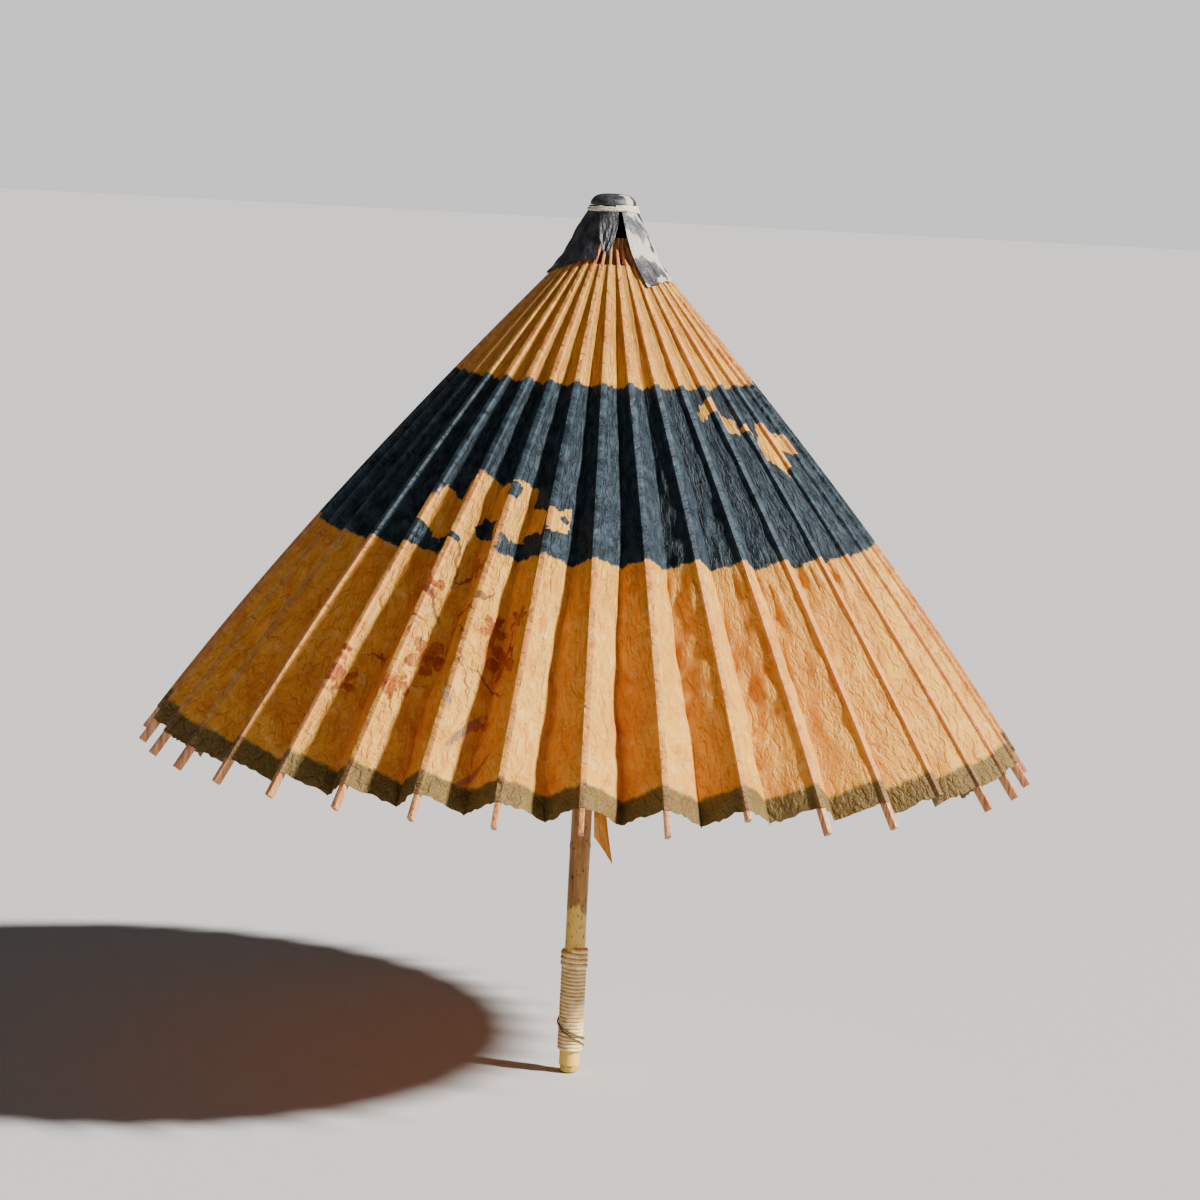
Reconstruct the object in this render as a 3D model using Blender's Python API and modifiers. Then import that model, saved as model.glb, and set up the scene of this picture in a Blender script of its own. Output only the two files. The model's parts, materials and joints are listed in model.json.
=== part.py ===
"""Oil paper umbrella at the cone its catch holds: shaft, slotted crown hub, ribs, stretchers, runner and pleated paper.

Metres, +Z up the shaft. The origin is the centre of the flat lower end of the shaft.
Every rib swings about a tangential axis in the crown hub. A stretcher is as long as the part of the rib
above it, so its lower end stays at the pivot radius while the runner slides on the shaft.
"""

from math import atan2, cos, hypot, pi, radians, sin

import bmesh
import bpy
from mathutils import Matrix, Vector

# Driving dimensions
RIB_COUNT = 36
RIB_LENGTH = 0.580
PIVOT_RADIUS = 0.021
PIVOT_HEIGHT = 0.739
HUB_ANGLE = radians(42.7)
TIP_STRAIGHTENING = radians(8.1)
CLOSING_SWING = radians(36.0)
SHAFT_RADIUS = 0.0092
SHAFT_TOP = 0.770
GAP = 0.0003

# Ribs: half widths across the plane and offsets from the centre line
RIB_ROOT_HALF = 0.0009
RIB_HALF = 0.0021
RIB_OUTER = 0.0022
RIB_INNER = 0.0048
RIB_ROOT_OFFSET = 0.0016
RIB_ROOT_BACK = 0.0018
SHORT_RIBS = {11: 0.014, 14: 0.026}

# Stretchers
STRETCHER_EVERY = 3
STRETCHER_STATION = 0.42
STRETCHER_DROP = 0.0073
STRETCHER_HALF = 0.0022
STRETCHER_FOOT_HALF = 0.0009
STRETCHER_DEPTH = 0.0021
STRETCHER_FOOT_DEPTH = 0.0016
STRETCHER_FOOT_LENGTH = 0.026
LUG_RADIUS = 0.0033
LUG_HALF = 0.0007
FORK_HALF = 0.0010
FORK_DEPTH = 0.0042

# Hub and runner
DRUM_RADIUS = 0.0240
SLOT_FLOOR_RADIUS = 0.0178
SLOT_HALF = 0.0012
HUB_NECK_RADIUS = 0.0150
HUB_TOP = 0.0280
RUNNER_BORE = 0.0106
SLEEVE_RADIUS = 0.0142
SLEEVE_LENGTH = 0.0375
RUNNER_DRUM_LOW = -0.0275
RUNNER_SLOT_LOW = -0.0250

# Catch
CATCH_PIVOT = 0.2745
CATCH_PIVOT_RADIUS = 0.0062

# Paper
PAPER_START = 0.050
PAPER_END = 0.962
PAPER_THICKNESS = 0.0005
PAPER_CLEARANCE = 0.0009
PLEAT_SLOPE = 0.050

ROUND_STEPS = 24


def rib_angle(station):
    """Angle between the shaft and the rib at a share of its length."""
    return HUB_ANGLE - TIP_STRAIGHTENING * max(station, 0.0) ** 1.5


def rib_point(station):
    """Radius and height, from the pivot plane, of the rib's centre line."""
    steps = max(2, round(abs(station) * 60))
    step = station * RIB_LENGTH / steps
    radius, height = PIVOT_RADIUS, 0.0
    for i in range(steps):
        angle = rib_angle(station * (i + 0.5) / steps)
        radius += step * sin(angle)
        height -= step * cos(angle)
    return radius, height


def off_line(station, outwards):
    """A point of the rib's plane beside its centre line, measured square to it."""
    radius, height = rib_point(station)
    angle = rib_angle(station)
    return radius + outwards * cos(angle), height + outwards * sin(angle)


def stretcher_geometry():
    """Joint on the rib, length of the stretcher and the runner's travel when the umbrella closes."""
    radius, height = off_line(STRETCHER_STATION, -STRETCHER_DROP)
    length = hypot(radius - PIVOT_RADIUS, height)
    angle = atan2(radius - PIVOT_RADIUS, -height)
    travel = 2 * length * (cos(angle - CLOSING_SWING) - cos(angle))
    return radius, height, length, angle, travel


JOINT_RADIUS, JOINT_DROP, STRETCHER_LENGTH, STRETCHER_ANGLE, RUNNER_TRAVEL = stretcher_geometry()
RUNNER_HEIGHT = PIVOT_HEIGHT + 2 * JOINT_DROP


def make_collection(name):
    collection = bpy.data.collections.new(name)
    bpy.context.scene.collection.children.link(collection)
    return collection


def make_material(name, colour, roughness, metallic=0.0):
    material = bpy.data.materials.new(name)
    material.use_nodes = True
    shader = material.node_tree.nodes["Principled BSDF"]
    shader.inputs["Base Color"].default_value = (*colour, 1.0)
    shader.inputs["Roughness"].default_value = roughness
    shader.inputs["Metallic"].default_value = metallic
    return material


def new_object(name, mesh, material, collection, location=(0, 0, 0), turn=0.0):
    part = bpy.data.objects.new(name, mesh)
    part.location = location
    part.rotation_euler = (0.0, 0.0, turn)
    if material and not mesh.materials:
        mesh.materials.append(material)
    collection.objects.link(part)
    return part


def mesh_from(name, build):
    """A mesh filled by a function that draws in a bmesh."""
    mesh = bpy.data.meshes.new(name)
    bm = bmesh.new()
    build(bm)
    bm.to_mesh(mesh)
    bm.free()
    return mesh


def turned(name, profile, material, height, steps=ROUND_STEPS):
    """A closed ring profile of (radius, height) points, turned about the shaft with a Screw."""
    def draw(bm):
        verts = [bm.verts.new((radius, 0.0, z)) for radius, z in profile]
        for first, second in zip(verts, verts[1:] + verts[:1]):
            if first.co.x > 0.0 or second.co.x > 0.0:
                bm.edges.new((first, second))

    part = new_object(name, mesh_from(name, draw), material, umbrella, (0.0, 0.0, height))
    screw = part.modifiers.new("Turn", "SCREW")
    screw.steps = screw.render_steps = steps
    screw.use_merge_vertices = True
    screw.merge_threshold = 0.00001
    screw.use_normal_calculate = True
    return part


def add_box(bm, low, high, matrix=None):
    centre = [(a + b) / 2 for a, b in zip(low, high)]
    size = [b - a for a, b in zip(low, high)]
    place = Matrix.Translation(centre) @ Matrix.Diagonal((*size, 1.0))
    bmesh.ops.create_cube(bm, size=1.0, matrix=(matrix or Matrix.Identity(4)) @ place)


def hidden(part):
    part.hide_render = True
    part.display_type = "WIRE"
    return part


def cut(part, cutter, operation="DIFFERENCE"):
    boolean = part.modifiers.new("Cut", "BOOLEAN")
    boolean.operation = operation
    boolean.solver = "EXACT"
    boolean.object = cutter
    return part


def loft(bm, sections):
    """A bar through rectangular sections, each four corners in order, closed at both ends."""
    rings = [[bm.verts.new(corner) for corner in section] for section in sections]
    for ring, after in zip(rings, rings[1:]):
        for i in range(4):
            j = (i + 1) % 4
            bm.faces.new((ring[i], ring[j], after[j], after[i]))
    bm.faces.new(rings[0][::-1])
    bm.faces.new(rings[-1])
    bmesh.ops.recalc_face_normals(bm, faces=bm.faces)


def combined_mesh(name, base, tool, operation):
    """The mesh of two helpers joined or cut, which many objects then share."""
    first = new_object(name + "_base", base, None, cutters)
    second = hidden(new_object(name + "_tool", tool, None, cutters))
    cut(first, second, operation)
    graph = bpy.context.evaluated_depsgraph_get()
    mesh = bpy.data.meshes.new_from_object(first.evaluated_get(graph))
    mesh.name = name
    bpy.data.objects.remove(first)
    bpy.data.objects.remove(second)
    return mesh


def rib_width(station):
    return RIB_ROOT_HALF + (RIB_HALF - RIB_ROOT_HALF) * min(max(station, 0.0) / 0.30, 1.0)


def rib_offsets(station):
    """How far the rib stands outside and inside its centre line."""
    grown = min(max(station - 0.010, 0.0) / 0.05, 1.0)
    outer = RIB_ROOT_OFFSET + (RIB_OUTER - RIB_ROOT_OFFSET) * grown
    inner = RIB_ROOT_OFFSET + (RIB_INNER - RIB_ROOT_OFFSET) * grown
    return outer, inner


def rib_mesh(name, shortened=0.0):
    """The bamboo strip in its own plane: X outwards from the joint, Y across, with the stretcher's lug."""
    end = 1.0 - shortened / RIB_LENGTH
    stations = [-RIB_ROOT_BACK / RIB_LENGTH, 0.010, 0.06, 0.15, 0.30, 0.45, 0.60, 0.75, 0.90, end]

    def bar(bm):
        sections = []
        for station in stations:
            half = rib_width(station)
            outer, inner = rib_offsets(station)
            outside = off_line(station, outer)
            inside = off_line(station, -inner)
            sections.append(
                [(radius - PIVOT_RADIUS, side, height)
                 for (radius, height), side in ((outside, -half), (outside, half), (inside, half), (inside, -half))]
            )
        loft(bm, sections)

    def lug(bm):
        place = Matrix.Translation((JOINT_RADIUS - PIVOT_RADIUS, 0.0, JOINT_DROP))
        bmesh.ops.create_cone(
            bm, cap_ends=True, segments=12, radius1=LUG_RADIUS, radius2=LUG_RADIUS, depth=2 * LUG_HALF,
            matrix=place @ Matrix.Rotation(pi / 2, 4, "X"),
        )

    return combined_mesh(name, mesh_from(name, bar), mesh_from(name, lug), "UNION")


def stretcher_mesh():
    """The strut hanging from its fork: the origin is the rib joint, and the foot lies in the runner's slot."""
    down = Vector((-sin(STRETCHER_ANGLE), 0.0, -cos(STRETCHER_ANGLE)))
    across = Vector((cos(STRETCHER_ANGLE), 0.0, -sin(STRETCHER_ANGLE)))
    ends = ((-0.0007, STRETCHER_HALF), (0.30 * STRETCHER_LENGTH, STRETCHER_HALF),
            (STRETCHER_LENGTH - STRETCHER_FOOT_LENGTH, STRETCHER_FOOT_HALF),
            (STRETCHER_LENGTH + 0.0014, STRETCHER_FOOT_HALF))

    def bar(bm):
        sections = []
        for along, half in ends:
            depth = STRETCHER_DEPTH if along < 0.5 * STRETCHER_LENGTH else STRETCHER_FOOT_DEPTH
            corners = ((depth, -half), (depth, half), (-depth, half), (-depth, -half))
            sections.append([down * along + across * out + Vector((0.0, side, 0.0)) for out, side in corners])
        loft(bm, sections)

    def fork(bm):
        turn = Matrix.Rotation(STRETCHER_ANGLE, 4, "Y")
        add_box(bm, (-0.004, -FORK_HALF, -FORK_DEPTH), (0.004, FORK_HALF, 0.004), turn)

    return combined_mesh("stretcher", mesh_from("bar", bar), mesh_from("fork", fork), "DIFFERENCE")


def slot_cutter(name, height, low, high):
    """One box for every rib, from the slot's floor out past the drum."""
    def draw(bm):
        for i in range(RIB_COUNT):
            turn = Matrix.Rotation(rib_turn(i), 4, "Z")
            add_box(bm, (SLOT_FLOOR_RADIUS, -SLOT_HALF, low), (DRUM_RADIUS + 0.004, SLOT_HALF, high), turn)

    return hidden(new_object(name, mesh_from(name, draw), None, cutters, (0.0, 0.0, height)))


def rib_turn(index):
    """Direction of a rib about the shaft, with rib 0 on -X and the count running over the -Y side."""
    return pi + 2 * pi * index / RIB_COUNT


def make_shaft():
    profile = [
        (0.0, SHAFT_TOP), (SHAFT_RADIUS, SHAFT_TOP), (SHAFT_RADIUS, 0.0062), (0.0, 0.0062),
    ]
    shaft = turned("shaft", profile, bamboo_pole, 0.0)

    def slot(bm):
        add_box(bm, (0.0008, -0.0022, 0.2700), (0.0120, 0.0022, 0.3120))

    def pin_bore(bm):
        place = Matrix.Translation((CATCH_PIVOT_RADIUS, 0.0, CATCH_PIVOT)) @ Matrix.Rotation(pi / 2, 4, "X")
        bmesh.ops.create_cone(bm, cap_ends=True, segments=12, radius1=0.0012, radius2=0.0012, depth=0.030,
                              matrix=place)

    cut(shaft, hidden(new_object("catch_slot", mesh_from("catch_slot", slot), None, cutters)))
    cut(shaft, hidden(new_object("pin_bore", mesh_from("pin_bore", pin_bore), None, cutters)))
    turned("shaft_plug", [(0.0, 0.0058), (0.0080, 0.0058), (0.0080, 0.0010), (0.0070, 0.0), (0.0, 0.0)],
           plug_wood, 0.0)
    turned("grip_wrap", [(0.0110, 0.1130), (0.0110, 0.0200), (0.0095, 0.0180), (0.0095, 0.1150)],
           cane, 0.0)


def make_catch():
    """A wooden tongue in the shaft's slot, pressed in by a finger to free the runner."""
    outline = ((-0.0016, -0.0020), (0.0024, -0.0020), (0.0039, 0.0340), (0.0024, 0.0360), (-0.0016, 0.0360))

    def draw(bm):
        side = [bm.verts.new((x, -0.0018, z)) for x, z in outline]
        face = bm.faces.new(side)
        grown = bmesh.ops.extrude_face_region(bm, geom=[face])
        moved = [v for v in grown["geom"] if isinstance(v, bmesh.types.BMVert)]
        bmesh.ops.translate(bm, verts=moved, vec=(0.0, 0.0036, 0.0))
        bmesh.ops.recalc_face_normals(bm, faces=bm.faces)

    catch = new_object("catch", mesh_from("catch", draw), hard_wood, umbrella, (CATCH_PIVOT_RADIUS, 0.0, CATCH_PIVOT))

    def pin_hole(bm):
        bmesh.ops.create_cone(bm, cap_ends=True, segments=12, radius1=0.0011, radius2=0.0011, depth=0.012,
                              matrix=Matrix.Translation((CATCH_PIVOT_RADIUS, 0.0, CATCH_PIVOT))
                              @ Matrix.Rotation(pi / 2, 4, "X"))

    cut(catch, hidden(new_object("catch_hole", mesh_from("catch_hole", pin_hole), None, cutters)))

    def pin(bm):
        bmesh.ops.create_cone(bm, cap_ends=True, segments=12, radius1=0.0008, radius2=0.0008, depth=0.0120,
                              matrix=Matrix.Rotation(pi / 2, 4, "X"))

    new_object("catch_pin", mesh_from("catch_pin", pin), hard_wood, umbrella, (CATCH_PIVOT_RADIUS, 0.0, CATCH_PIVOT))


def make_crown():
    """Slotted hub, paper hood over the rib roots, its binding and the round cap."""
    bore = SHAFT_RADIUS + GAP
    hub = turned("crown_hub", [
        (HUB_NECK_RADIUS, HUB_TOP), (HUB_NECK_RADIUS, 0.0090), (DRUM_RADIUS, 0.0070), (DRUM_RADIUS, -0.0080),
        (bore, -0.0080), (bore, HUB_TOP),
    ], hard_wood, PIVOT_HEIGHT, 36)
    cut(hub, slot_cutter("hub_slots", PIVOT_HEIGHT, -0.0120, 0.0042))
    skirt = [off_line(station, 0.0048) for station in (0.012, 0.040, 0.070)]
    outside = [(0.0188, 0.0300), (0.0205, 0.0180), (0.0262, 0.0085)] + skirt
    inside = [(radius - 0.0007, height - 0.0004) for radius, height in reversed(outside)]
    turned("crown_hood", outside + inside, black_paper, PIVOT_HEIGHT, 36)
    turned("crown_binding", [
        (0.0212, 0.0300), (0.0222, 0.0285), (0.0222, 0.0255), (0.0214, 0.0242), (0.0202, 0.0250), (0.0198, 0.0290),
    ], twine, PIVOT_HEIGHT)
    turned("crown_cap", [
        (0.0, 0.0370), (0.0180, 0.0370), (0.0200, 0.0355), (0.0200, 0.0325), (0.0190, 0.0313), (0.0, 0.0313),
    ], hard_wood, PIVOT_HEIGHT)


def make_runner():
    """Slotted drum and sleeve that slide on the shaft. The slots take the stretchers' feet."""
    low = RUNNER_DRUM_LOW
    runner = turned("runner", [
        (DRUM_RADIUS, 0.0070), (DRUM_RADIUS, low), (SLEEVE_RADIUS, low - 0.0050),
        (SLEEVE_RADIUS, low - SLEEVE_LENGTH), (RUNNER_BORE, low - SLEEVE_LENGTH), (RUNNER_BORE, 0.0070),
    ], hard_wood, RUNNER_HEIGHT, 36)
    cut(runner, slot_cutter("runner_slots", RUNNER_HEIGHT, RUNNER_SLOT_LOW, 0.0120))
    turned("runner_binding", [
        (0.0156, -0.0370), (0.0162, -0.0390), (0.0156, -0.0410), (0.0145, -0.0410), (0.0145, -0.0370),
    ], twine, RUNNER_HEIGHT)


def make_ribs():
    whole = rib_mesh("rib")
    for i in range(RIB_COUNT):
        mesh = rib_mesh(f"rib_{i:02d}_short", SHORT_RIBS[i]) if i in SHORT_RIBS else whole
        turn = rib_turn(i)
        place = (PIVOT_RADIUS * cos(turn), PIVOT_RADIUS * sin(turn), PIVOT_HEIGHT)
        new_object(f"rib_{i:02d}", mesh, bamboo_rib, umbrella, place, turn)


def make_stretchers():
    mesh = stretcher_mesh()
    for i in range(0, RIB_COUNT, STRETCHER_EVERY):
        turn = rib_turn(i)
        place = (JOINT_RADIUS * cos(turn), JOINT_RADIUS * sin(turn), PIVOT_HEIGHT + JOINT_DROP)
        new_object(f"stretcher_{i:02d}", mesh, bamboo_stretcher, umbrella, place, turn)


def make_paper():
    """The oiled paper: flat over each rib and folded inwards halfway to the next one."""
    stations = (PAPER_START, 0.20, 0.40, 0.60, 0.80, PAPER_END)
    ridge = RIB_OUTER + PAPER_CLEARANCE
    half_step = pi / RIB_COUNT

    def draw(bm):
        rings = []
        for station in stations:
            crest_radius, crest_height = off_line(station, ridge)
            depth = PLEAT_SLOPE * station * RIB_LENGTH
            fold_radius, fold_height = off_line(station, ridge - depth)
            crest_half = rib_width(station) + 0.0006
            ring = []
            for i in range(RIB_COUNT):
                turn = rib_turn(i)
                for side in (-crest_half, crest_half):
                    ring.append((crest_radius * cos(turn) - side * sin(turn),
                                 crest_radius * sin(turn) + side * cos(turn), PIVOT_HEIGHT + crest_height))
                ring.append((fold_radius * cos(turn + half_step), fold_radius * sin(turn + half_step),
                             PIVOT_HEIGHT + fold_height))
            rings.append([bm.verts.new(point) for point in ring])
        count = len(rings[0])
        for ring, after in zip(rings, rings[1:]):
            for i in range(count):
                j = (i + 1) % count
                bm.faces.new((ring[i], after[i], after[j], ring[j]))

    paper = new_object("canopy_paper", mesh_from("canopy_paper", draw), oiled_paper, umbrella)
    shell = paper.modifiers.new("Sheet", "SOLIDIFY")
    shell.thickness = PAPER_THICKNESS
    shell.offset = 1.0


for leftover in list(bpy.data.objects):
    bpy.data.objects.remove(leftover)
umbrella = make_collection("oil_paper_umbrella")
cutters = make_collection("cutters")
bamboo_pole = make_material("bamboo_pole", (0.42, 0.24, 0.07), 0.45)
bamboo_rib = make_material("bamboo_rib", (0.36, 0.14, 0.06), 0.5)
bamboo_stretcher = make_material("bamboo_stretcher", (0.52, 0.34, 0.15), 0.55)
hard_wood = make_material("turned_wood", (0.45, 0.27, 0.13), 0.5)
plug_wood = make_material("plug_wood", (0.50, 0.30, 0.05), 0.6)
cane = make_material("cane", (0.66, 0.50, 0.26), 0.5)
twine = make_material("twine", (0.50, 0.47, 0.38), 0.8)
black_paper = make_material("black_paper", (0.02, 0.022, 0.025), 0.5)
oiled_paper = make_material("oiled_paper", (0.72, 0.33, 0.06), 0.4)
make_shaft()
make_catch()
make_crown()
make_runner()
make_ribs()
make_stretchers()
make_paper()
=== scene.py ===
import json
from math import atan2, cos, exp, pi, radians, sin

import bmesh
import bpy
import numpy as np
from mathutils import Matrix, Vector, noise


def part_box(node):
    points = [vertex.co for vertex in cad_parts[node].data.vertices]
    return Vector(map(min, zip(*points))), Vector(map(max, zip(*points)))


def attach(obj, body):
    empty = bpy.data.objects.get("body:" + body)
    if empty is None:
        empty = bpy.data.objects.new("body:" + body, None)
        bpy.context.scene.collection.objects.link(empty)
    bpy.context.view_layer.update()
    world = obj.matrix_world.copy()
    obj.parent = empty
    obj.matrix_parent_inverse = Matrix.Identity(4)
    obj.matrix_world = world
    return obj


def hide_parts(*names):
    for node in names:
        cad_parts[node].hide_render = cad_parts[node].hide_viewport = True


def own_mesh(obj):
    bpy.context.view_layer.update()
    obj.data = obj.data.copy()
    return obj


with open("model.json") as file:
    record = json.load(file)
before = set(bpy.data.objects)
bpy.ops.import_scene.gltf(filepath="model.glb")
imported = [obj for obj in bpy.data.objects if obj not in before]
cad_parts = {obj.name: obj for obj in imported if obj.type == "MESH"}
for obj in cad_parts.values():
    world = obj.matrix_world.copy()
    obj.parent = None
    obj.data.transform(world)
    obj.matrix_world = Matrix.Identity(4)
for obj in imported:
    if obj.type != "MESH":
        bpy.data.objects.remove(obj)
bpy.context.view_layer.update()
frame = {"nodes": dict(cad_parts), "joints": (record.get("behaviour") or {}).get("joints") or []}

print("frame loaded")

# the cone that the ribs draw, in metres
cone = {
    "ribs": 36,
    "ribLength": 0.580,
    "hubAngle": radians(42.7),  # from the shaft
    "straightening": radians(8.1),
    "bendPower": 1.5,
    "closing": radians(36),  # each rib's turn from rest to closed
    "ribRootHalf": 0.0009,
    "ribHalf": 0.0021,
    "fullWidthFrom": 0.30,  # share of the length
    "ribOuter": 0.0022,
}
ribJoint = next(joint for joint in frame["joints"] if joint["name"] == "rib_00_hinge")
pivotRadius = abs(ribJoint["pos_m"][0])
pivotHeight = ribJoint["pos_m"][2]

# a rib's middle line: its radius and height for each share of its length
lineShares = np.linspace(0.0, 1.02, 400)
lineAngles = cone["hubAngle"] - cone["straightening"] * lineShares ** cone["bendPower"]
lineStep = cone["ribLength"] * (lineShares[1] - lineShares[0])
midAngles = (lineAngles[1:] + lineAngles[:-1]) / 2
lineRadii = pivotRadius + np.concatenate([[0], np.cumsum(np.sin(midAngles))]) * lineStep
lineHeights = pivotHeight - np.concatenate([[0], np.cumsum(np.cos(midAngles))]) * lineStep


def offLine(share, outwards):
    angle = np.interp(share, lineShares, lineAngles)
    radius = np.interp(share, lineShares, lineRadii) + outwards * np.cos(angle)
    return radius, np.interp(share, lineShares, lineHeights) + outwards * np.sin(angle)


def ribTurn(index):
    return pi + 2 * pi * index / cone["ribs"]  # rib 0 on -X, the count over the -Y side


def ribHalfWidth(share):
    widening = np.clip(share / cone["fullWidthFrom"], 0, 1)
    return cone["ribRootHalf"] + (cone["ribHalf"] - cone["ribRootHalf"]) * widening


def onCircle(radius, turn, height):
    return radius * cos(turn), radius * sin(turn), height


def wave(x, y, z):  # smooth noise; its factors set how fast it varies and tell the pieces apart
    return noise.noise(Vector((x, y, z)))


# materials: small helpers for node trees

def linear(red, green, blue):
    gamma = 2.2
    return tuple((value / 255) ** gamma for value in (red, green, blue)) + (1.0,)


def newMaterial(name):
    material = bpy.data.materials.new(name)
    material.use_nodes = True
    return material, material.node_tree, material.node_tree.nodes["Principled BSDF"]


def wire(tree, value, socket):
    if isinstance(value, bpy.types.NodeSocket):
        tree.links.new(value, socket)
    elif value is not None:
        socket.default_value = value


def calc(tree, operation, first, second=None, third=None):
    node = tree.nodes.new("ShaderNodeMath")
    node.operation = operation
    for value, socket in zip((first, second, third), node.inputs):
        wire(tree, value, socket)
    return node.outputs[0]


def mixColour(tree, share, first, second):
    node = tree.nodes.new("ShaderNodeMix")
    node.data_type = "RGBA"
    wire(tree, share, node.inputs["Factor"])
    wire(tree, first, node.inputs["A"])
    wire(tree, second, node.inputs["B"])
    return node.outputs["Result"]


def soften(tree, value, low, high):
    node = tree.nodes.new("ShaderNodeMapRange")
    node.interpolation_type = "SMOOTHSTEP"
    wire(tree, value, node.inputs["Value"])
    wire(tree, low, node.inputs["From Min"])
    wire(tree, high, node.inputs["From Max"])
    return node.outputs["Result"]


def place(tree, vector, scale=(1, 1, 1), location=(0, 0, 0), turn=0.0, kind="POINT"):
    node = tree.nodes.new("ShaderNodeMapping")
    node.vector_type = kind
    wire(tree, vector, node.inputs["Vector"])
    node.inputs["Location"].default_value = location
    node.inputs["Rotation"].default_value = (0, 0, turn)
    node.inputs["Scale"].default_value = scale
    return node.outputs["Vector"]


def partsOf(tree, vector):
    node = tree.nodes.new("ShaderNodeSeparateXYZ")
    wire(tree, vector, node.inputs[0])
    return node.outputs


def lengthOf(tree, vector):
    node = tree.nodes.new("ShaderNodeVectorMath")
    node.operation = "LENGTH"
    wire(tree, vector, node.inputs[0])
    return node.outputs["Value"]


def objectCoords(tree):
    return tree.nodes.new("ShaderNodeTexCoord").outputs["Object"]


# a grain is a noise (scale, detail, roughness), the span in which it appears, and how strongly it shows
def grainOf(tree, vector, look):
    if "stretch" in look:
        vector = place(tree, vector, look["stretch"], look.get("shift", (0, 0, 0)), look.get("turn", 0.0))
    node = tree.nodes.new("ShaderNodeTexNoise")
    wire(tree, vector, node.inputs["Vector"])
    for label, value in zip(("Scale", "Detail", "Roughness"), look["noise"]):
        node.inputs[label].default_value = value
    return node.outputs["Fac"]


def stain(tree, tone, field, look, colour):
    share = calc(tree, "MULTIPLY", soften(tree, field, *look["span"]), look["strength"])
    return mixColour(tree, share, tone, colour)


def addBump(tree, shader, height, distance):
    node = tree.nodes.new("ShaderNodeBump")
    node.inputs["Distance"].default_value = distance
    node.inputs["Strength"].default_value = 1.0
    wire(tree, height, node.inputs["Height"])
    wire(tree, node.outputs["Normal"], shader.inputs["Normal"])


# the painted paper: U counts the gores from rib 0, V is the share of the rib's length
paperPaint = {
    "bandTop": 0.2727, "bandFoot": 0.5752, "bandBlur": 0.002,
    "rimStart": 0.927, "rimBlur": 0.004, "rimStrength": 0.80,
    "goreWidth": 0.109,  # one gore beside one rib length, at mid rib
    "bare": linear(250, 198, 82), "warm": linear(218, 142, 40), "pale": linear(255, 234, 146),
    "glow": linear(238, 54, 2), "band": linear(32, 44, 54), "bandLight": linear(72, 90, 102),
    "bandGlow": linear(8, 10, 12),
    "rim": linear(104, 92, 66), "rimDark": linear(42, 36, 26), "spot": linear(90, 44, 16),
    "bloom": linear(140, 38, 18), "twig": linear(74, 52, 44), "leaf": linear(120, 108, 96),
    "rib": linear(206, 128, 76),
    "sprigStrength": 0.75,
    "shake": 0.024, "shakeScale": 55,  # of the painted edges
    "ragged": 0.014,  # of the band's and the rim's edge
    "bump": 0.0013, "specular": 0.35, "roughness": 0.38, "roughnessGrain": 0.25,
    "lightThrough": 0.36, "lightThroughRib": 0.12,
}
paperGrain = {
    "coarse": {"noise": (9, 4, 0.6), "span": (0.42, 0.72), "strength": 0.6},
    "golden": {"noise": (3, 4, 0.6), "span": (0.45, 0.70), "strength": 0.7, "stretch": (26, 9, 1)},
    "medium": {"noise": (42, 5, 0.7), "span": (0.50, 0.80), "strength": 1.0},
    "fine": {"noise": (900, 3, 0.7), "span": (0.45, 0.70), "strength": 0.22},
    "fibres": {"noise": (1, 3, 0.6), "span": (0.56, 0.74), "strength": 0.35,
               "stretch": (900, 60, 1), "turn": 0.3},
    "spots": {"noise": (190, 1, 0.4), "span": (0.72, 0.78), "strength": 0.55},
    "worn": {"noise": (9, 3, 0.6), "span": (0.30, 0.62), "strength": 0.45,
             "least": 0.40, "stretch": (20, 3, 1)},
    "print": {"span": (0.35, 0.60), "strength": 0.35, "least": 0.45},
    "band": {"span": (0.35, 0.75)},
    "speckle": {"noise": (420, 2, 0.8), "span": (0.42, 0.60)},
    "edge": {"noise": (60, 2, 0.6)},
    "crease": {"noise": (1.6, 5, 0.55), "span": (0.0, 0.10), "stretch": (38, 16, 1)},
    "relief": {"fine": 0.5, "medium": 1.2, "crease": 0.8},
}
# torn openings in the dark band: gore, share of length, half sizes, turn
bandOpenings = (
    (5.27, 0.512, 0.034, 0.034, 0.35), (5.78, 0.500, 0.026, 0.046, 0.0), (6.25, 0.525, 0.030, 0.078, 0.0),
    (6.75, 0.520, 0.028, 0.066, 0.0), (7.25, 0.500, 0.030, 0.046, 0.0), (7.72, 0.512, 0.024, 0.020, 0.2),
    (8.15, 0.514, 0.018, 0.019, 0.0), (12.80, 0.312, 0.030, 0.011, -0.3),
    (13.50, 0.330, 0.042, 0.015, 0.35), (14.30, 0.350, 0.030, 0.024, 0.7),
    (14.95, 0.385, 0.034, 0.034, 0.8), (15.45, 0.425, 0.018, 0.020, 0.6), (15.90, 0.378, 0.036, 0.014, 0.4),
)
bandIslands = (
    (6.62, 0.532, 0.030, 0.017, 0.3), (5.95, 0.552, 0.020, 0.006, 0.5), (7.02, 0.470, 0.008, 0.012, 0.4),
    (8.20, 0.508, 0.008, 0.005, 0.3),
)
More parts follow.
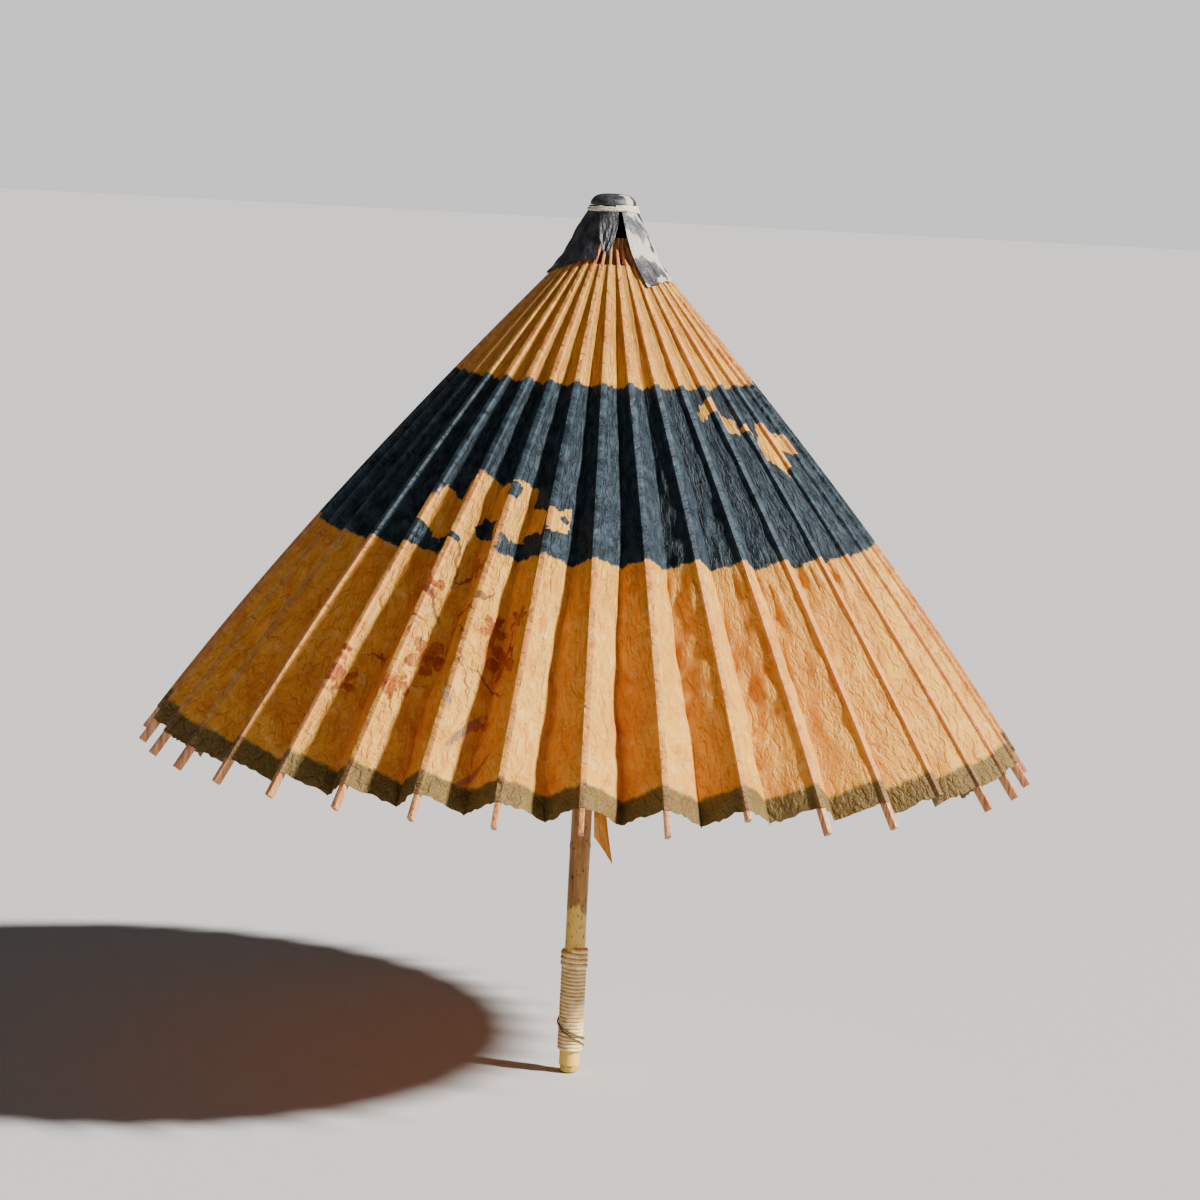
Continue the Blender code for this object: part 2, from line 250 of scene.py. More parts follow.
# a plain sprig: blossoms (gore, share, size), then brush strokes in the same terms as the openings
blossoms = (
    (5.95, 0.640, 0.030), (6.30, 0.745, 0.036), (6.05, 0.800, 0.026), (7.32, 0.690, 0.030),
    (7.60, 0.735, 0.036), (7.78, 0.670, 0.022), (5.10, 0.805, 0.028), (4.92, 0.765, 0.018),
    (7.50, 0.830, 0.018), (6.75, 0.600, 0.022), (6.62, 0.665, 0.016),
)
twigs = (
    (6.20, 0.590, 0.034, 0.0030, 1.25), (6.05, 0.655, 0.044, 0.0032, 1.00),
    (5.85, 0.690, 0.030, 0.0024, 0.20), (6.55, 0.720, 0.040, 0.0022, 1.45),
    (6.95, 0.655, 0.040, 0.0022, -0.60), (7.10, 0.770, 0.034, 0.0020, 1.20),
    (5.55, 0.745, 0.040, 0.0020, -0.25), (7.45, 0.775, 0.044, 0.0020, 0.50),
    (6.85, 0.700, 0.018, 0.0026, 0.70), (6.45, 0.615, 0.020, 0.0026, -0.40),
    (7.75, 0.715, 0.030, 0.0020, 1.30),
)
leaves = (
    (7.28, 0.850, 0.036, 0.0052, -1.05), (7.55, 0.905, 0.034, 0.0048, -0.78),
    (6.98, 0.805, 0.022, 0.0030, 1.30),
)


def anyOf(tree, masks):
    total = masks[0]
    for mask in masks[1:]:
        total = calc(tree, "MAXIMUM", total, mask)
    return total


def markSpot(tree, sheet, gore, share, across, along, turn):
    centre = (gore * paperPaint["goreWidth"], share, 0)
    return place(tree, sheet, (across, along, 1), centre, turn, "TEXTURE")


def strokeMask(tree, sheet, gore, share, across, along, turn, edge):
    spot = markSpot(tree, sheet, gore, share, across, along, turn)
    return soften(tree, lengthOf(tree, spot), 1.0 + edge, 1.0 - edge)


def tornMask(tree, sheet, gore, share, across, along, turn):
    edge = 0.04
    parts = partsOf(tree, markSpot(tree, sheet, gore, share, across, along, turn))
    sideways = calc(tree, "ABSOLUTE", parts[0])
    reach = calc(tree, "MAXIMUM", sideways, calc(tree, "ABSOLUTE", parts[1]))
    return soften(tree, reach, 1.0 + edge, 1.0 - edge)


def blossomMask(tree, sheet, gore, share, size):
    petals, petalLength, heart = 5, 0.65, 0.25
    spot = markSpot(tree, sheet, gore, share, size, size, gore * 5)
    parts = partsOf(tree, spot)
    angle = calc(tree, "ARCTAN2", parts[1], parts[0])
    petal = calc(tree, "ABSOLUTE", calc(tree, "COSINE", calc(tree, "MULTIPLY", angle, petals / 2)))
    reach = calc(tree, "MULTIPLY_ADD", petal, petalLength, heart)
    return soften(tree, calc(tree, "SUBTRACT", reach, lengthOf(tree, spot)), -0.05, 0.10)


def shakenSheet(tree, sheet):
    shake = paperPaint["shake"]
    colours = tree.nodes.new("ShaderNodeTexNoise")
    wire(tree, sheet, colours.inputs["Vector"])
    colours.inputs["Scale"].default_value = paperPaint["shakeScale"]
    wobble = tree.nodes.new("ShaderNodeVectorMath")
    wobble.operation = "MULTIPLY_ADD"
    wire(tree, colours.outputs["Color"], wobble.inputs[0])
    wobble.inputs[1].default_value = (shake, shake, 0)
    wobble.inputs[2].default_value = (-shake / 2, -shake / 2, 0)
    total = tree.nodes.new("ShaderNodeVectorMath")
    wire(tree, wobble.outputs[0], total.inputs[0])
    wire(tree, sheet, total.inputs[1])
    return total.outputs[0]


def barePaper(tree, sheet, medium, fine, overRib):
    paint, look = paperPaint, paperGrain
    tone = paint["bare"]
    for name, colour, field in (
        ("coarse", "warm", None), ("golden", "warm", None), ("medium", "pale", medium),
        ("fine", "warm", fine), ("fibres", "pale", None), ("spots", "spot", None),
    ):
        field = field or grainOf(tree, sheet, look[name])
        tone = stain(tree, tone, field, look[name], paint[colour])
    if overRib:
        worn = soften(tree, grainOf(tree, sheet, look["worn"]), *look["worn"]["span"])
        share = calc(tree, "MULTIPLY_ADD", worn, look["worn"]["strength"], look["worn"]["least"])
        tone = mixColour(tree, share, tone, paint["rib"])
    return tone


def addSprig(tree, tone, sheet, shaken, medium):
    paint, look = paperPaint, paperGrain["print"]
    twigMask = anyOf(tree, [strokeMask(tree, shaken, *twig, edge=0.4) for twig in twigs])
    leafMask = anyOf(tree, [strokeMask(tree, sheet, *leaf, edge=0.25) for leaf in leaves])
    bloomMask = anyOf(tree, [blossomMask(tree, shaken, *bloom) for bloom in blossoms])
    printed = soften(tree, medium, *look["span"])
    printed = calc(tree, "MULTIPLY_ADD", printed, look["strength"], look["least"])
    tone = mixColour(tree, calc(tree, "MULTIPLY", bloomMask, printed), tone, paint["bloom"])
    tone = mixColour(tree, calc(tree, "MULTIPLY", leafMask, paint["sprigStrength"]), tone, paint["leaf"])
    return mixColour(tree, calc(tree, "MULTIPLY", twigMask, paint["sprigStrength"]), tone, paint["twig"])


def bandMask(tree, edgeShare, shaken):
    top, foot, blur = paperPaint["bandTop"], paperPaint["bandFoot"], paperPaint["bandBlur"]
    belowTop = soften(tree, edgeShare, top - blur, top + blur)
    inBand = calc(tree, "MULTIPLY", belowTop, soften(tree, edgeShare, foot + blur, foot - blur))
    opened = anyOf(tree, [tornMask(tree, shaken, *opening) for opening in bandOpenings])
    islands = anyOf(tree, [tornMask(tree, shaken, *island) for island in bandIslands])
    opened = calc(tree, "MAXIMUM", calc(tree, "SUBTRACT", opened, islands), 0.0)
    return calc(tree, "MULTIPLY", inBand, calc(tree, "SUBTRACT", 1.0, opened))


def paperRelief(tree, sheet, medium, fine):
    look = paperGrain
    ridges = calc(tree, "ABSOLUTE", calc(tree, "SUBTRACT", grainOf(tree, sheet, look["crease"]), 0.5))
    creases = soften(tree, ridges, *look["crease"]["span"])
    relief = calc(tree, "ADD", calc(tree, "MULTIPLY", fine, look["relief"]["fine"]),
                  calc(tree, "MULTIPLY", medium, look["relief"]["medium"]))
    return calc(tree, "ADD", relief, calc(tree, "MULTIPLY", creases, look["relief"]["crease"]))


def paperMaterial(name, overRib):
    material, tree, shader = newMaterial(name)
    paint, look = paperPaint, paperGrain
    uvNode = tree.nodes.new("ShaderNodeUVMap")
    uvNode.uv_map = "paper"
    sheet = place(tree, uvNode.outputs["UV"], (paint["goreWidth"], 1, 1))
    shaken = shakenSheet(tree, sheet)
    medium = grainOf(tree, sheet, look["medium"])
    fine = grainOf(tree, objectCoords(tree), look["fine"])
    tone = barePaper(tree, sheet, medium, fine, overRib)
    tone = addSprig(tree, tone, sheet, shaken, medium)

    edgeNoise = grainOf(tree, sheet, look["edge"])
    ragged = calc(tree, "MULTIPLY_ADD", edgeNoise, paint["ragged"], -paint["ragged"] / 2)
    edgeShare = calc(tree, "ADD", partsOf(tree, sheet)[1], ragged)
    inBand = bandMask(tree, edgeShare, shaken)
    bandShare = soften(tree, medium, *look["band"]["span"])
    bandTone = mixColour(tree, bandShare, paint["band"], paint["bandLight"])
    tone = mixColour(tree, inBand, tone, bandTone)
    rim, blur = paint["rimStart"], paint["rimBlur"]
    inRim = soften(tree, edgeShare, rim - blur, rim + blur)
    speckle = soften(tree, grainOf(tree, sheet, look["speckle"]), *look["speckle"]["span"])
    rimTone = mixColour(tree, speckle, paint["rim"], paint["rimDark"])
    tone = mixColour(tree, calc(tree, "MULTIPLY", inRim, paint["rimStrength"]), tone, rimTone)

    wire(tree, tone, shader.inputs["Base Color"])
    roughness = calc(tree, "MULTIPLY_ADD", medium, paint["roughnessGrain"], paint["roughness"])
    wire(tree, roughness, shader.inputs["Roughness"])
    shader.inputs["Specular IOR Level"].default_value = paint["specular"]
    addBump(tree, shader, paperRelief(tree, sheet, medium, fine), paint["bump"])
    behind = tree.nodes.new("ShaderNodeBsdfTranslucent")
    glow = mixColour(tree, inRim, paint["glow"], paint["rimDark"])
    glow = mixColour(tree, inBand, glow, paint["bandGlow"])
    wire(tree, glow, behind.inputs["Color"])
    both = tree.nodes.new("ShaderNodeMixShader")
    both.inputs[0].default_value = paint["lightThroughRib"] if overRib else paint["lightThrough"]
    wire(tree, shader.outputs[0], both.inputs[1])
    wire(tree, behind.outputs[0], both.inputs[2])
    wire(tree, both.outputs[0], tree.nodes["Material Output"].inputs["Surface"])
    return material


woodGrain = {
    "streaks": {"noise": (6, 5, 0.65), "span": (0.30, 0.70), "strength": 1.0},
    "blotch": {"noise": (28, 3, 0.6), "span": (0.45, 0.75), "strength": 0.35},
    # the wavering edge of the painted sunlight low on the shaft
    "sunlitEdge": {"noise": (1.5, 3, 0.6), "stretch": (60, 60, 12), "wander": 0.05, "blur": 0.004},
    "dots": {"noise": (330, 2, 0.6), "span": (0.60, 0.68), "stretch": (1, 1, 0.6)},
    "dot": linear(52, 26, 10),
    "roughnessGrain": 0.25, "roughnessDrop": 0.12, "bump": 0.0006,
}


def woodMaterial(name, light, dark, stretch, speckle=0.0, roughness=0.45, paintedSunlit=None):
    material, tree, shader = newMaterial(name)
    look = woodGrain
    coords = objectCoords(tree)
    streaks = grainOf(tree, coords, {**look["streaks"], "stretch": stretch})
    tone = stain(tree, light, streaks, look["streaks"], dark)
    tone = stain(tree, tone, grainOf(tree, coords, look["blotch"]), look["blotch"], dark)
    # below a wavering level the wood turns a paler yellow: painted sunlight, where the lower shaft comes
    # out of the canopy's shade
    if paintedSunlit:
        height = partsOf(tree, coords)[2]
        sunlitEdge, blur = grainOf(tree, coords, look["sunlitEdge"]), look["sunlitEdge"]["blur"]
        level = calc(tree, "MULTIPLY_ADD", sunlitEdge, look["sunlitEdge"]["wander"], height)
        below = soften(tree, level, paintedSunlit["level"] + blur, paintedSunlit["level"] - blur)
        tone = mixColour(tree, below, tone, paintedSunlit["colour"])
    if speckle:
        dots = grainOf(tree, coords, look["dots"])
        tone = stain(tree, tone, dots, {**look["dots"], "strength": speckle}, look["dot"])
    wire(tree, tone, shader.inputs["Base Color"])
    rough = calc(tree, "MULTIPLY_ADD", streaks, look["roughnessGrain"], roughness - look["roughnessDrop"])
    wire(tree, rough, shader.inputs["Roughness"])
    addBump(tree, shader, streaks, look["bump"])
    return material


hoodLook = {
    "creases": {"noise": (90, 6, 0.7), "stretch": (1.4, 1.4, 0.6)},
    "patches": {"noise": (48, 4, 0.55), "stretch": (1, 1, 0.55), "shift": (0.31, 0.12, 0.05)},
    "fine": {"noise": (700, 2, 0.7)},
    "paintedLitSide": (-0.012, 0.020),  # from left to right, where more of the black is lost: painted light, with the lit right side drawn paler
    "wearFrom": 0.60, "paintedLitWear": -0.13, "wearBlur": 0.07, "wearStrength": 0.9,
    "black": linear(26, 27, 32), "blackLight": linear(72, 72, 78), "blackSpan": (0.35, 0.70),
    "bared": linear(208, 200, 184), "baredDark": linear(150, 146, 140),
    "roughness": 0.42, "wornRoughness": 0.3, "fineRelief": 0.2, "bump": 0.0014,
}


def hoodMaterial():
    material, tree, shader = newMaterial("wornAndLitBlackPaper")
    look = hoodLook
    coords = objectCoords(tree)
    creases = grainOf(tree, coords, look["creases"])
    # the worn patches spread further towards the right: real wear, with more of it on the lit side as
    # painted light
    paintedLitSide = soften(tree, partsOf(tree, coords)[0], *look["paintedLitSide"])
    level = calc(tree, "MULTIPLY_ADD", paintedLitSide, look["paintedLitWear"], look["wearFrom"])
    fullLevel = calc(tree, "ADD", level, look["wearBlur"])
    worn = soften(tree, grainOf(tree, coords, look["patches"]), level, fullLevel)
    tone = mixColour(tree, soften(tree, creases, *look["blackSpan"]), look["black"], look["blackLight"])
    bared = mixColour(tree, creases, look["bared"], look["baredDark"])
    tone = mixColour(tree, calc(tree, "MULTIPLY", worn, look["wearStrength"]), tone, bared)
    wire(tree, tone, shader.inputs["Base Color"])
    roughness = calc(tree, "MULTIPLY_ADD", worn, look["wornRoughness"], look["roughness"])
    wire(tree, roughness, shader.inputs["Roughness"])
    fine = calc(tree, "MULTIPLY", grainOf(tree, coords, look["fine"]), look["fineRelief"])
    addBump(tree, shader, calc(tree, "ADD", creases, fine), look["bump"])
    return material


cordGrain = {
    "strands": {"span": (0.35, 0.70), "strength": 1.0}, "detail": 3, "strandRoughness": 0.6,
    "stains": {"noise": (45, 3, 0.6), "span": (0.50, 0.72), "strength": 0.5},
    "bump": 0.0005,
}


def cordMaterial(name, light, dark, scale, roughness=0.55, shine=0.5):
    material, tree, shader = newMaterial(name)
    look = cordGrain
    coords = objectCoords(tree)
    strands = grainOf(tree, coords, {"noise": (scale, look["detail"], look["strandRoughness"])})
    tone = stain(tree, light, strands, look["strands"], dark)
    tone = stain(tree, tone, grainOf(tree, coords, look["stains"]), look["stains"], dark)
    wire(tree, tone, shader.inputs["Base Color"])
    shader.inputs["Roughness"].default_value = roughness
    shader.inputs["Specular IOR Level"].default_value = shine
    addBump(tree, shader, strands, look["bump"])
    return material


gorePaper = paperMaterial("oiledPaper", False)
ridgePaper = paperMaterial("paperOverRib", True)
ribWood = woodMaterial("stainedBamboo", linear(218, 158, 104), linear(156, 86, 46), (70, 70, 6))
strutWood = woodMaterial("bareBamboo", linear(214, 170, 104), linear(150, 98, 48), (70, 70, 6))
# the shaft: speckled brown, with painted sunlight in paler yellow below 0.172 m
shaftWood = woodMaterial("speckledBamboo", linear(178, 126, 46), linear(118, 74, 22), (50, 50, 5),
                         0.85, 0.42, {"level": 0.172, "colour": linear(226, 186, 84)})
hubWood = woodMaterial("turnedWood", linear(190, 140, 84), linear(120, 76, 40), (40, 40, 8))
plugWood = woodMaterial("endWood", linear(222, 186, 84), linear(176, 132, 44), (40, 40, 10), 0.6)
caneSkin = cordMaterial("splitCane", linear(244, 222, 170), linear(212, 172, 104), 110)
darkCane = cordMaterial("darkCane", linear(120, 96, 66), linear(70, 52, 36), 260)
tieTwine = cordMaterial("paleTwine", linear(226, 218, 190), linear(160, 146, 112), 700)
threadDark = cordMaterial("blackThread", linear(38, 34, 34), linear(18, 16, 18), 900)
hoodSkin = hoodMaterial()
# near-black and without shine: painted shade inside the hood
shadeLiningSkin = cordMaterial("paintedShadeLining", linear(10, 8, 8), linear(4, 3, 3), 300, 0.95, 0.0)
print("materials made")


# meshes

def finished(name, mesh, material, body, replaced=()):
    piece = bpy.data.objects.new(name, mesh)
    bpy.context.scene.collection.objects.link(piece)
    mesh.materials.clear()
    mesh.materials.append(material)
    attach(piece, body)
    if replaced:
        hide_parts(*replaced)
    return piece


def baked(source, name):
    graph = bpy.context.evaluated_depsgraph_get()
    mesh = bpy.data.meshes.new_from_object(source.evaluated_get(graph))
    mesh.name = name
    bpy.data.objects.remove(source)
    return mesh


def temporary(mesh):
    helper = bpy.data.objects.new("helper", mesh)
    bpy.context.scene.collection.objects.link(helper)
    return helper


def written(bm, mesh):
    bm.to_mesh(mesh)
    bm.free()
    return mesh


def smoothed(mesh, sharpest):  # an edge that bends by more degrees than this stays sharp
    mesh.shade_smooth()
    mesh.set_sharp_from_angle(angle=radians(sharpest))
    return mesh


def thickened(mesh, name, thickness):
    helper = temporary(mesh)
    shell = helper.modifiers.new("Thickness", "SOLIDIFY")
    shell.thickness = thickness
    shell.offset = -1.0
    return smoothed(baked(helper, name), 50)


def gridMesh(name, points, uvs=None):
    rows, columns = points.shape[:2]
    index = np.arange(rows * columns).reshape(rows, columns)
    faces = np.stack([index[:-1, :-1], index[:-1, 1:], index[1:, 1:], index[1:, :-1]], -1).reshape(-1, 4)
    mesh = bpy.data.meshes.new(name)
    mesh.from_pydata(points.reshape(-1, 3).tolist(), [], faces.tolist())
    if uvs is not None:
        layer = mesh.uv_layers.new(name="paper")
        flat = uvs.reshape(-1, 2)[faces.reshape(-1)]
        layer.data.foreach_set("uv", flat.reshape(-1).astype(np.float32))
    mesh.update()
    return mesh


# the pleated paper: a gore is two halves that meet at its fold
canopy = {
    "start": 0.050, "end": 0.962,  # shares of the rib's length
    "rows": 72, "columns": 11, "thickness": 0.00035,
    "ridgeLift": 0.0006,  # of the sheet over the rib
    "ridgeDrop": 0.0030,  # from the ridge to where the gore leaves it
    "ridgeCover": 0.0007,  # of the sheet past each side of the rib
    "foldSlope": 0.056, "foldSwell": 0.16, "foldKink": 0.35,
    "flare": 0.12, "flareFrom": 0.55,  # folds deepen from this share on
    "wander": 0.15,  # of the fold, as a share of the gore
    "wrinkle": 0.0032, "belly": 0.055, "ragged": 0.35,
    "crushedAt": 0.61, "crushedReach": 0.09, "crushed": 1.4,  # just below the painted band
    "gathered": 0.11,  # what is left of a gore's width when closed
}
ridge = {
    "rows": 60, "overhang": 0.001, "grooves": 0.0004, "paintedHalf": 0.03,
    # across the rib in half widths, and the share of the drop at each point
    "profile": ((-1.04, 1.0), (-1.0, 0.35), (-0.86, 0.05), (-0.4, 0.0),
                (0.4, 0.0), (0.86, 0.05), (1.0, 0.35), (1.04, 1.0)),
}


def placeAt(radius, height, turn, side=0.0):
    x = radius * np.cos(turn) - side * np.sin(turn)
    y = radius * np.sin(turn) + side * np.cos(turn)
    return np.stack([x, y, height + 0.0 * radius], -1)


def foldLine(gore, shares):
    sway = np.array([wave(share * 4.0, gore * 7.3, 1.7) for share in shares])
    swell = np.array([wave(share * 3.0, gore * 5.1, 9.2) for share in shares])
    kink = np.array([wave(share * 13.0, gore * 4.9, 6.1) for share in shares])
    flare = 0.90 + canopy["flare"] * np.clip((shares - canopy["flareFrom"]) / 0.12, 0, 1)
    depth = canopy["foldSlope"] * shares * cone["ribLength"] * flare * (1 + canopy["foldSwell"] * swell)
    kink = canopy["foldKink"] * kink * np.clip(shares / 0.5, 0.2, 1)
    part = 0.5 + canopy["wander"] * (sway + kink)
    radius, height = offLine(shares, cone["ribOuter"] + canopy["ridgeLift"] - depth)
    turn = ribTurn(gore) + part * 2 * pi / cone["ribs"]
    return placeAt(radius, height, turn)


def crumpled(gore, side, shares, across, width):
    push = np.zeros((len(shares), len(across)))
    character = wave(gore * 2.7, side * 5.5, 0.3)
    for i, share in enumerate(shares):
        free = min(max((share - 0.10) / 0.5, 0.1), 1.0)
        near = max(0.0, 1 - abs(share - canopy["crushedAt"]) / canopy["crushedReach"])
        for j, u in enumerate(across):
            calm = sin(pi * u)
            belly = canopy["belly"] * (0.35 + character) * width[i] * calm
            crumple = wave(share * 26, u * 2.2 + gore * 3.7, side * 4.0)
            crease = abs(wave(share * 9 + u * 2.0, u * 3.1 + gore * 1.9, side * 2.0 + 7))
            rough = crumple + canopy["crushed"] * near * (crease - 0.2)
            push[i, j] = belly + canopy["wrinkle"] * free * rough * calm ** 0.6
    return push


def goreHalf(gore, side):
    rows, columns = canopy["rows"], canopy["columns"]
    shares = np.linspace(canopy["start"], canopy["end"], rows)
    raggedness = np.array([wave(gore * 3.1 + side, k * 0.9, 4.4) for k in range(columns)])
    drop = canopy["ridgeDrop"] * np.clip(shares / 0.2, 0.3, 1)
    radius, height = offLine(shares, cone["ribOuter"] + canopy["ridgeLift"] - drop)
    sideways = (ribHalfWidth(shares) + canopy["ridgeCover"]) * (1 - 2 * side)
    edge = placeAt(radius, height, ribTurn(gore + side), sideways)
    fold = foldLine(gore, shares)
    across = np.linspace(0, 1, columns)
    points = edge[:, None] * (1 - across[None, :, None]) + fold[:, None] * across[None, :, None]
    normal = np.cross(np.gradient(points, axis=1), np.gradient(points, axis=0))
    normal /= np.linalg.norm(normal, axis=-1, keepdims=True)
    outwards = placeAt(np.ones(1), np.zeros(1), ribTurn(gore + 0.5))[0] * 0.8 + np.array([0, 0, 0.6])
    if (normal[rows // 2, columns // 2] @ outwards) < 0:
        normal = -normal
    push = crumpled(gore, side, shares, across, np.linalg.norm(fold - edge, axis=-1))
    points = points + normal * push[..., None]
    points[-1] += (points[-1] - points[-2]) * (raggedness[:, None] * canopy["ragged"])
    flatU = gore + (0.5 * across if side == 0 else 1 - 0.5 * across)
    uvs = np.stack(np.broadcast_arrays(flatU[None, :], shares[:, None]), -1)
    return points, uvs


def faceOut(mesh):
    bm = bmesh.new()
    bm.from_mesh(mesh)
    total = 0.0
    for face in bm.faces:
        centre = face.calc_center_median()
        outwards = Vector((centre.x, centre.y, 0.35 * centre.length))
        total += face.normal.dot(outwards) * face.calc_area()
    if total < 0:
        bmesh.ops.reverse_faces(bm, faces=bm.faces)
    return written(bm, mesh)


def makeGore(rib):
    halves = (goreHalf(rib - 1, 1), goreHalf(rib, 0))
    bm = bmesh.new()
    for points, uvs in halves:
        bm.from_mesh(thickened(faceOut(gridMesh("half", points, uvs)), "half", canopy["thickness"]))
    mesh = smoothed(written(bm, bpy.data.meshes.new(f"gorePaper_{rib:02d}")), 50)
    covered = ["canopy_paper"] if rib == 0 else []
    piece = finished(f"gorePaper_{rib:02d}", mesh, gorePaper, f"rib_{rib:02d}", covered)
    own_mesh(piece)


def makeRidge(rib):
    shares = np.linspace(canopy["start"], canopy["end"] + ridge["overhang"], ridge["rows"])
    lift = cone["ribOuter"] + canopy["ridgeLift"]
    drop = canopy["ridgeDrop"] * np.clip(shares / 0.2, 0.35, 1) + ridge["grooves"]
    half = ribHalfWidth(shares) + canopy["ridgeCover"]
    strip = []
    for sidePart, dropPart in ridge["profile"]:
        radius, height = offLine(shares, lift - drop * dropPart)
        strip.append(placeAt(radius, height, ribTurn(rib), half * sidePart))
    points = np.stack(strip, 1)
    flatU = rib + np.linspace(-ridge["paintedHalf"], ridge["paintedHalf"], len(ridge["profile"]))
    uvs = np.stack(np.broadcast_arrays(flatU[None, :], shares[:, None]), -1)
    mesh = thickened(faceOut(gridMesh("strip", points, uvs)), f"ridgePaper_{rib:02d}", canopy["thickness"])
    finished(f"ridgePaper_{rib:02d}", mesh, ridgePaper, f"rib_{rib:02d}")


def makeGores():
    for rib in range(cone["ribs"]):
        makeGore(rib)
        makeRidge(rib)


def cleanCopy(node, bevel):
    bm = bmesh.new()
    bm.from_mesh(frame["nodes"][node].data)
    bmesh.ops.remove_doubles(bm, verts=bm.verts, dist=0.00002)
    bmesh.ops.dissolve_limit(bm, angle_limit=radians(0.5), verts=bm.verts, edges=bm.edges)
    helper = temporary(written(bm, bpy.data.meshes.new(node)))
    edges = helper.modifiers.new("Edges", "BEVEL")
    edges.width = bevel
    edges.segments = 2
    edges.limit_method = "ANGLE"
    edges.angle_limit = radians(35)
    return smoothed(baked(helper, node), 38)


makeGores()
print("paper made")


# wooden parts: piece, node, rounding of its edges, material, body, slot
woodParts = (
    ("crownHub", "crown_hub", 0.0003, hubWood, "root", "turned_wood"),
    ("slidingRunner", "runner", 0.0004, hubWood, "runner", "turned_wood"),
    ("catchTongue", "catch", 0.0004, strutWood, "catch", "turned_wood"),
    ("catchPin", "catch_pin", 0.0002, strutWood, "root", "turned_wood"),
    ("endPlug", "shaft_plug", 0.0005, plugWood, "root", "plug_wood"),
)
rounding = {"rib": 0.0004, "strut": 0.0003}
struts = {"every": 3}  # ribs whose struts are in the frame; the others are added here


def makeFrameParts():
    for rib in range(cone["ribs"]):
        node = f"rib_{rib:02d}"
        mesh = cleanCopy(node, rounding["rib"])
        finished(f"ribStrip_{rib:02d}", mesh, ribWood, node, [node])
    for rib in range(0, cone["ribs"], struts["every"]):
        node = f"stretcher_{rib:02d}"
        mesh = cleanCopy(node, rounding["strut"])
        finished(f"strut_{rib:02d}", mesh, strutWood, node, [node])
    for name, node, bevel, material, body, slotName in woodParts:
        finished(name, cleanCopy(node, bevel), material, body, [node])


def makeSpareStruts():
    source = cleanCopy("stretcher_00", rounding["strut"])
    for rib in range(cone["ribs"]):
        if rib % struts["every"] == 0:
            continue
        mesh = source.copy()
        mesh.transform(Matrix.Rotation(ribTurn(rib) - ribTurn(0), 4, "Z"))
        piece = finished(f"spareStrut_{rib:02d}", mesh, strutWood, "runner")
        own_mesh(piece)


makeFrameParts()
makeSpareStruts()
print("frame parts made")


# what winds round the shaft, by one geometry node tree

def newTree(name, inputs):
    tree = bpy.data.node_groups.new(name, "GeometryNodeTree")
    tree.interface.new_socket("Geometry", in_out="INPUT", socket_type="NodeSocketGeometry")
    for label, kind in inputs:
        tree.interface.new_socket(label, in_out="INPUT", socket_type=kind)
    tree.interface.new_socket("Geometry", in_out="OUTPUT", socket_type="NodeSocketGeometry")
    return tree, tree.nodes.new("NodeGroupInput"), tree.nodes.new("NodeGroupOutput")


def runTree(name, tree, values):
    helper = temporary(bpy.data.meshes.new("seed"))
    modifier = helper.modifiers.new(name, "NODES")
    modifier.node_group = tree
    for item in tree.interface.items_tree:
        if item.item_type == "SOCKET" and item.in_out == "INPUT" and item.name in values:
            modifier[item.identifier] = values[item.name]
    result = baked(helper, name)
    result.shade_smooth()
    return result


windingShape = {"stepsPerTurn": 28, "sides": 8, "unevenScale": 130.0}


def windingTree():
    sizes = ("Lower Radius", "Upper Radius", "Height", "Turns", "Strand", "Unevenness", "Base")
    inputs = [(label, "NodeSocketFloat") for label in sizes] + [("Finish", "NodeSocketMaterial")]
    tree, given, out = newTree("windingTree", inputs)
    spiral = tree.nodes.new("GeometryNodeCurveSpiral")
    spiral.inputs["Resolution"].default_value = windingShape["stepsPerTurn"]
    link = tree.links.new
    link(given.outputs["Turns"], spiral.inputs["Rotations"])
    link(given.outputs["Lower Radius"], spiral.inputs["Start Radius"])
    link(given.outputs["Upper Radius"], spiral.inputs["End Radius"])
    link(given.outputs["Height"], spiral.inputs["Height"])
    where = tree.nodes.new("GeometryNodeInputPosition")
    rough = tree.nodes.new("ShaderNodeTexNoise")
    rough.inputs["Scale"].default_value = windingShape["unevenScale"]
    link(where.outputs[0], rough.inputs["Vector"])
    centred = tree.nodes.new("ShaderNodeVectorMath")
    centred.operation = "SUBTRACT"
    link(rough.outputs["Color"], centred.inputs[0])
    centred.inputs[1].default_value = (0.5, 0.5, 0.5)
    scaled = tree.nodes.new("ShaderNodeVectorMath")
    scaled.operation = "SCALE"
    link(centred.outputs[0], scaled.inputs[0])
    link(given.outputs["Unevenness"], scaled.inputs["Scale"])
    lift = tree.nodes.new("ShaderNodeCombineXYZ")
    link(given.outputs["Base"], lift.inputs["Z"])
    total = tree.nodes.new("ShaderNodeVectorMath")
    link(scaled.outputs[0], total.inputs[0])
    link(lift.outputs[0], total.inputs[1])
    moved = tree.nodes.new("GeometryNodeSetPosition")
    link(spiral.outputs[0], moved.inputs["Geometry"])
    link(total.outputs[0], moved.inputs["Offset"])
    section = tree.nodes.new("GeometryNodeCurvePrimitiveCircle")
    section.inputs["Resolution"].default_value = windingShape["sides"]
    link(given.outputs["Strand"], section.inputs["Radius"])
    swept = tree.nodes.new("GeometryNodeCurveToMesh")
    swept.inputs["Fill Caps"].default_value = True
    link(moved.outputs[0], swept.inputs["Curve"])
    link(section.outputs[0], swept.inputs["Profile Curve"])
    real = tree.nodes.new("GeometryNodeRealizeInstances")
    link(swept.outputs[0], real.inputs[0])
    coat = tree.nodes.new("GeometryNodeSetMaterial")
    link(real.outputs[0], coat.inputs["Geometry"])
    link(given.outputs["Finish"], coat.inputs["Material"])
    link(coat.outputs[0], out.inputs[0])
    return tree


windings = windingTree()
